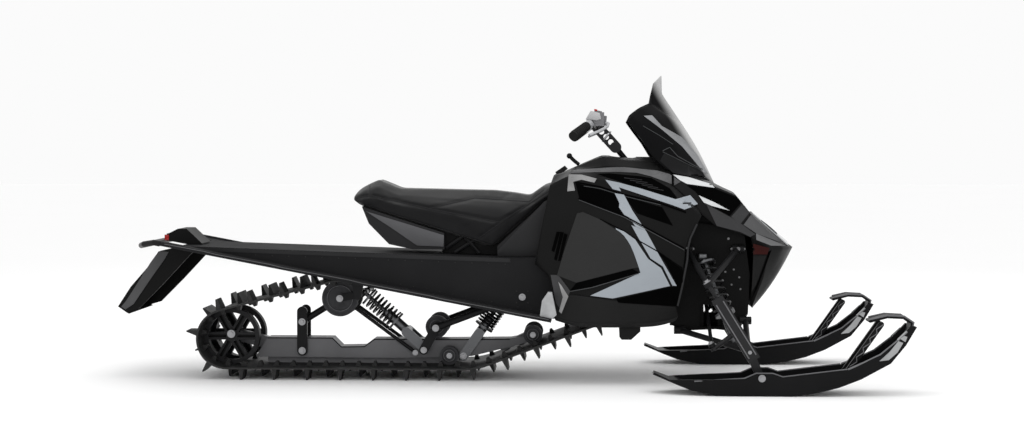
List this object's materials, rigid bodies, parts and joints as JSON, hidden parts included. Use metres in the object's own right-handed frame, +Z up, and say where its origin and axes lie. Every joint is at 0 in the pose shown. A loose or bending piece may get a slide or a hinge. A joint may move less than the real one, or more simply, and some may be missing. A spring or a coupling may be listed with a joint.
{
  "type": "snowmobile",
  "caption": "Single-seat snowmobile with a long rubber track under a tunnel, two steered skis, a dark faired body with pale stripes, a windshield and a handlebar.",
  "frame": {"origin": "on the ground, halfway along the whole length and on the middle plane, under the track and skis", "axes": "+X forward towards the ski tips, +Y to the rider's left, +Z up"},
  "size_m": [3, 1.09, 1.176],
  "materials": {
    "track_rubber": "matt, moulded",
    "wheel_plastic": "moulded",
    "idler_plastic": "moulded, worn rim",
    "dark_steel": "satin powder coat",
    "rail_aluminium": "satin",
    "damper_metal": "satin",
    "spring_steel": "gloss powder coat",
    "tunnel_metal": "satin, faint grain",
    "flap_plastic": "grained",
    "lens_red": "clear red",
    "seat_vinyl": "matt grained vinyl with seams",
    "engine_metal": "cast",
    "body_plastic": "dark grey with light blue-grey stripes",
    "belly_plastic": "grained",
    "windshield_plastic": "dark with grey bands",
    "toe_hold_plastic": "pale grey",
    "lamp_lens": "clear",
    "spindle_metal": "dark, satin",
    "ski_plastic": "moulded",
    "grip_rubber": "ribbed"
  },
  "bodies": {
    "chassis": {"belly_pan_left": "belly_plastic", "belly_pan_right": "belly_plastic", "centre_spring": "spring_steel", "console": "belly_plastic", "drive_axle": "dark_steel", "engine": "engine_metal", "front_arm": "dark_steel", "front_frame": "dark_steel", "fuel_tank": "flap_plastic", "headlamps": "lamp_lens", "hood": "body_plastic", "idler_brackets": "dark_steel", "idler_wheels": "idler_plastic", "lower_arms": "dark_steel", "nose": "body_plastic", "pull_rods": "dark_steel", "rail_beam": "rail_aluminium", "rear_arm": "dark_steel", "rear_axle": "dark_steel", "rear_bumper": "dark_steel", "rear_link": "dark_steel", "rear_spring": "spring_steel", "rear_wheels": "wheel_plastic", "running_board_left": "tunnel_metal", "running_board_right": "tunnel_metal", "seat": "seat_vinyl", "seat_pan": "flap_plastic", "side_panel_left": "body_plastic", "side_panel_right": "body_plastic", "ski_damper_left": "damper_metal", "ski_damper_right": "damper_metal", "ski_spring_left": "spring_steel", "ski_spring_right": "spring_steel", "snow_flap": "flap_plastic", "suspension_hanger": "dark_steel", "tail_lamp": "flap_plastic", "tail_lens": "lens_red", "toe_hold_left": "toe_hold_plastic", "toe_hold_right": "toe_hold_plastic", "track": "track_rubber", "track_dampers": "damper_metal", "tunnel": "tunnel_metal", "upper_arms": "dark_steel", "windshield": "windshield_plastic"},
    "steering_column": {"steering_column": "dark_steel", "handlebar_riser": "dark_steel", "handlebar": "dark_steel", "grip_left": "grip_rubber", "grip_right": "grip_rubber", "control_pod_left": "belly_plastic", "control_pod_right": "belly_plastic"},
    "spindle_left": {"spindle_left": "spindle_metal", "ski_left": "ski_plastic"},
    "spindle_right": {"spindle_right": "spindle_metal", "ski_right": "ski_plastic"},
    "tie_rod_left": {"tie_rod_left": "dark_steel"},
    "tie_rod_right": {"tie_rod_right": "dark_steel"}
  },
  "joints": [
    {"name": "steering", "type": "hinge", "parent": "chassis", "child": "steering_column", "pos_m": [0.445, 0, 0.872], "axis": [-0.6334, 0, 0.7738], "range_deg": [-30, 30]},
    {"name": "spindle_turn_left", "type": "hinge", "parent": "chassis", "child": "spindle_left", "pos_m": [0.949, 0.409, 0.079], "axis": [-0.5225, 0, 0.8526], "range_deg": [-30, 30]},
    {"name": "spindle_turn_right", "type": "hinge", "parent": "chassis", "child": "spindle_right", "pos_m": [0.949, -0.409, 0.079], "axis": [-0.5225, 0, 0.8526], "range_deg": [-30, 30]},
    {"name": "tie_rod_turn_left", "type": "hinge", "parent": "spindle_left", "child": "tie_rod_left", "pos_m": [0.77147, 0.409, 0.16966], "axis": [-0.5225, 0, 0.8526], "range_deg": [-30, 30]},
    {"name": "tie_rod_turn_right", "type": "hinge", "parent": "spindle_right", "child": "tie_rod_right", "pos_m": [0.77147, -0.409, 0.16966], "axis": [-0.5225, 0, 0.8526], "range_deg": [-30, 30]}
  ],
  "couplings": [
    {"joint": "spindle_turn_left", "follows": "steering", "ratio": 1},
    {"joint": "spindle_turn_right", "follows": "steering", "ratio": 1},
    {"joint": "tie_rod_turn_left", "follows": "steering", "ratio": -1},
    {"joint": "tie_rod_turn_right", "follows": "steering", "ratio": -1}
  ]
}
